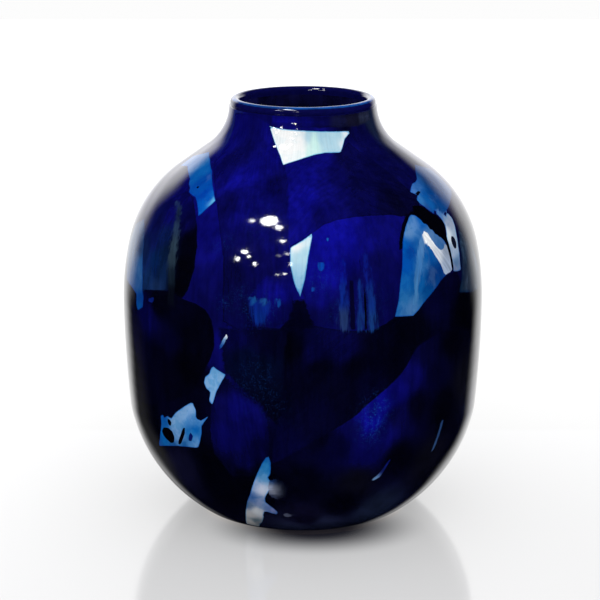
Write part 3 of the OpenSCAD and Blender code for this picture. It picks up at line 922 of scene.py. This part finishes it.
def liner_coat():
    """The glaze inside, over the floor and up the wall, with the potter's rings under it."""
    floor = FLOOR_TOP + GLAZE_T
    face = resample(cut(inner_line(INSIDE_D), floor, COLLAR_TOP), PLAIN_STEP)
    floor_r = face[0][0]
    bottom = np.column_stack([np.linspace(0, floor_r, 34)[:-1], np.full(33, floor)])
    back = resample(cut(inner_line(LINER_D), FLOOR_TOP, COLLAR_TOP), BACK_STEP)[::-1]
    under = np.array([[0.0, FLOOR_TOP]])
    loop = np.vstack([bottom, face, back, under])[::-1]

    def wobble(azimuth, index, radius, height):
        shown = index > len(back) and height > floor + 6 and height < COLLAR_TOP - 26
        if not shown:
            return 0 * azimuth
        return -0.22 * (1 + np.sin(2 * math.pi * height / 9.0 + azimuth))

    return lathe("liner_glaze_coat", loop, columns=PLAIN_COLUMNS, wobble=wobble)[0]


def foot_piece():
    """The unglazed foot ring with its turning grooves and wiped edges."""
    outside = outline(GLAZE_T)
    foot_out = float(np.interp(0, outside[:, 1], outside[:, 0]))
    low_z = 0.02
    shelf = np.arange(FOOT_IN + FOOT_BEVEL, foot_out - FOOT_BEVEL, 0.5)
    sole = [(r, low_z + 0.10 * (1 + math.sin(r * 4.1))) for r in shelf]
    rise = np.linspace(0, FOOT_H, 13)
    wall = np.interp(rise, outside[:, 1], outside[:, 0])
    side = [(min(foot_out - FOOT_BEVEL + BEVEL_RUN * z, r), z) for z, r in zip(rise, wall)]
    inner = [(FOOT_IN + 0.06 * (1 + math.sin(z * 5)), z) for z in np.linspace(FOOT_H, FOOT_BEVEL, 9)]
    loop = np.array(inner + sole + side[1:])
    return lathe("turned_foot_ring", loop, columns=PLAIN_COLUMNS)[0]


def floor_piece():
    """The floor slab, whose underside shows the spiral left by turning the foot."""
    outside = outline(LINER_D)
    rim = resample(cut(outside, FOOT_H, FLOOR_TOP), PLAIN_STEP)
    under = np.linspace(rim[0][0], 0, 120)
    low = [(r, FOOT_H + 0.12 * (1 + math.sin(r * 1.9)) * min(1, r / 4)) for r in under[1:]]
    top = [(0.0, FLOOR_TOP)]
    loop = np.array(top + [tuple(p) for p in rim[::-1]] + low)[::-1]
    return lathe("turned_floor", loop, columns=PLAIN_COLUMNS)[0]


def use(piece, material, node):
    """Puts a new piece in its CAD node's place, with its material and slot."""
    piece.data.materials.clear()
    piece.data.materials.append(material)
    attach(piece, "root")
    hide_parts(node)


def dress(node, material):
    """Gives a CAD node that stays a better material."""
    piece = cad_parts[node]
    if not piece.material_slots:
        piece.data.materials.append(material)
    for slot in piece.material_slots:
        slot.material = material


# ---------------------------------------------------------------- stage
TABLE_REACH = 4.0
# Distance behind the vase at which the table top turns to a slightly duller one, and the blur there
TABLE_STEP, TABLE_STEP_BLUR = 0.205, 0.017
# Middle of the painted contact shadow where the vase meets the table, and its reach sideways and forwards
CONTACT_SHADOW_AT = (0.012, -0.090)
CONTACT_SHADOW_REACH = (0.090, 0.064)
# Colour of the painted contact shadow, which darkens both the table's colour and its glow
CONTACT_SHADOW_COLOUR = (0.02, 0.02, 0.03, 1.0)


def make_floor():
    """A pale glossy table top that glows a little, with a painted contact shadow where the vase meets it.
    """
    mesh = bpy.data.meshes.new("table_top")
    corners = [(x * TABLE_REACH, y * TABLE_REACH, 0) for x, y in ((-1, -1), (1, -1), (1, 1), (-1, 1))]
    mesh.from_pydata(corners, [], [(0, 1, 2, 3)])
    table = bpy.data.objects.new("table_top", mesh)
    bpy.context.collection.objects.link(table)
    graph, place = begin_material("pale gloss table")
    axes = graph.node("SeparateXYZ", {0: place}).outputs
    step = graph.ramp(axes[1], TABLE_STEP, TABLE_STEP + TABLE_STEP_BLUR)
    away = [graph.math("MULTIPLY_ADD", axis, 1 / reach, -middle / reach)
            for axis, middle, reach in zip(axes, CONTACT_SHADOW_AT, CONTACT_SHADOW_REACH)]
    contact_shadow = graph.ramp(graph.length(*away), 1.25, 0.34)
    colour = graph.mix(step, (0.40, 0.40, 0.408, 1.0), (0.42, 0.42, 0.42, 1.0))
    # Painted contact shadow: the table's colour and glow go dark round the front of the foot
    colour = graph.mix(contact_shadow, colour, CONTACT_SHADOW_COLOUR)
    glow = graph.mix(step, (1.0, 1.0, 1.0, 1.0), (0.90, 0.90, 0.90, 1.0))
    glow = graph.mix(contact_shadow, glow, CONTACT_SHADOW_COLOUR)
    material = finish_material(graph, colour, 0.10, None, IOR=1.5, Emission_Strength=0.354)
    shader = next(node for node in graph.tree.nodes if node.type == "BSDF_PRINCIPLED")
    graph.put(shader.inputs["Emission Color"], glow)
    mesh.materials.append(material)
    table.visible_glossy = False


# Soft bright panels behind the vase that its gloss shows: (azimuth from +Y, half width, lowest and
# highest elevation, strength), all but the strength in degrees
PANELS = [
    (0, 41, -10, 9, 1.45), (2, 34, -23, -10, 1.1), (0, 15, 8, 34, 1.6), (-24.5, 12, 8, 24, 1.85),
    (26, 13, 8, 20, 0.95), (-22, 9, -34, -22, 0.6), (22, 11, -35, -22, 0.95), (-44, 10, -38, -18, 0.08),
]
# How far a panel's edge fades to either side, across and up, in degrees
PANEL_BLUR = (9, 5)
# Strength of the even light that falls on everything, and of the white wall that the camera sees
EVEN_LIGHT, WALL_LIGHT = 1.12, 0.98


def make_world():
    """Even white light, in which gloss shows only the bright panels behind the vase."""
    world = bpy.data.worlds.new("studio")
    bpy.context.scene.world = world
    graph = Graph(world)
    path = graph.node("LightPath").outputs
    direction = graph.node("TexCoord").outputs["Generated"]
    axes = graph.node("SeparateXYZ", {0: direction}).outputs
    aside = graph.math("ARCTAN2", axes[0], axes[1])
    rise = graph.math("ARCSINE", axes[2])

    def fade(angle, dark, bright, strength=1.0):
        return graph.ramp(angle, math.radians(dark), math.radians(bright), 0.0, strength)

    def panel(middle, half, low, high, strength):
        """A soft-edged bright rectangle in the directions behind the vase."""
        wide, tall = PANEL_BLUR
        off = graph.math("ABSOLUTE", graph.math("SUBTRACT", aside, math.radians(middle)))
        across = fade(off, half + wide, half - wide)
        under = fade(rise, low - tall, low + tall)
        over = fade(rise, high + tall, high - tall, strength)
        return graph.times(across, under, over)

    gloss = 0.0
    for shape in PANELS:
        gloss = graph.math("ADD", gloss, panel(*shape))
    seen = graph.node("Mix", {0: path["Is Glossy Ray"], 2: EVEN_LIGHT, 3: gloss}).outputs[0]
    seen = graph.node("Mix", {0: path["Is Camera Ray"], 2: seen, 3: WALL_LIGHT}).outputs[0]
    background = graph.node("Background", {"Color": (1.0, 1.0, 1.0, 1.0), "Strength": seen})
    output = graph.node("OutputWorld")
    graph.put(output.inputs["Surface"], background.outputs[0])


# Small lamps that only make the highlights: (azimuth and elevation that they shine from, degrees
# across, strength). Azimuth 0 is the camera's side, and the left is negative.
LAMPS = [
    (-39, 61, 8.6, 60), (-25, 57, 3.6, 60), (-56, 57, 2.6, 50), (-17, 45, 2.6, 60), (-43, 31, 3.4, 70),
    (-39, 27, 2.2, 70), (-46, 23, 2.5, 60), (-33, 22, 2.2, 60), (-11, 34, 1.6, 40), (-17, 32, 1.1, 16),
    (-8, 24, 1.4, 40), (-11, 15, 1.9, 50), (-16, 14, 1.4, 40),
]
LAMP_DISTANCE = 3.0
# The place on the shoulder that the lamps point at
LAMP_TARGET = Vector((-0.03, -0.15, 0.31))


def make_lamps(lit):
    """Adds the lamps, which shine on nothing but the lit pieces."""
    receivers = bpy.data.collections.new("lit by the lamps")
    for piece in lit:
        receivers.objects.link(piece)
    for number, (azimuth, elevation, across, strength) in enumerate(LAMPS):
        a, e = math.radians(azimuth), math.radians(elevation)
        away = Vector((math.sin(a) * math.cos(e), -math.cos(a) * math.cos(e), math.sin(e)))
        data = bpy.data.lights.new("catch lamp %d" % number, "AREA")
        data.shape = "DISK"
        data.size = 2 * LAMP_DISTANCE * math.tan(math.radians(across / 2))
        data.energy = strength * math.pi**2 * data.size**2 / 4
        lamp = bpy.data.objects.new(data.name, data)
        lamp.location = LAMP_TARGET + away * LAMP_DISTANCE
        lamp.rotation_mode = "QUATERNION"
        lamp.rotation_quaternion = away.to_track_quat("Z", "Y")
        lamp.visible_camera = False
        lamp.visible_diffuse = False
        lamp.light_linking.receiver_collection = receivers
        bpy.context.collection.objects.link(lamp)


CAMERA_AT = (-0.0029, -2.0, 0.7272)
# How far the camera looks down, in degrees, and its lens on a sensor 36 mm wide
CAMERA_TILT, CAMERA_LENS = 14.6, 124.4


def make_camera():
    """A long lens two metres in front, above the mouth's height, that looks gently down."""
    data = bpy.data.cameras.new("camera")
    data.sensor_width = 36.0
    data.lens = CAMERA_LENS
    camera = bpy.data.objects.new("camera", data)
    camera.location = CAMERA_AT
    camera.rotation_euler = (math.radians(90 - CAMERA_TILT), 0, 0)
    bpy.context.collection.objects.link(camera)
    bpy.context.scene.camera = camera


make_camera()
make_world()
make_floor()

clay = bare_clay()
body_coat, lip, liner = painted_coat(), lip_coat(), liner_coat()
use(body_coat, painted_glaze(), "body_glaze")
use(lip, lip_glaze(), "lip_glaze")
use(liner, liner_glaze(), "liner_glaze")
use(foot_piece(), clay, "foot_ring")
use(floor_piece(), clay, "base_floor")
make_lamps([body_coat, lip, liner])
for node in ("lower_wall", "belly_wall", "shoulder_wall", "neck_collar", "rim_roll"):
    dress(node, clay)

bpy.context.scene.view_settings.view_transform = "Standard"
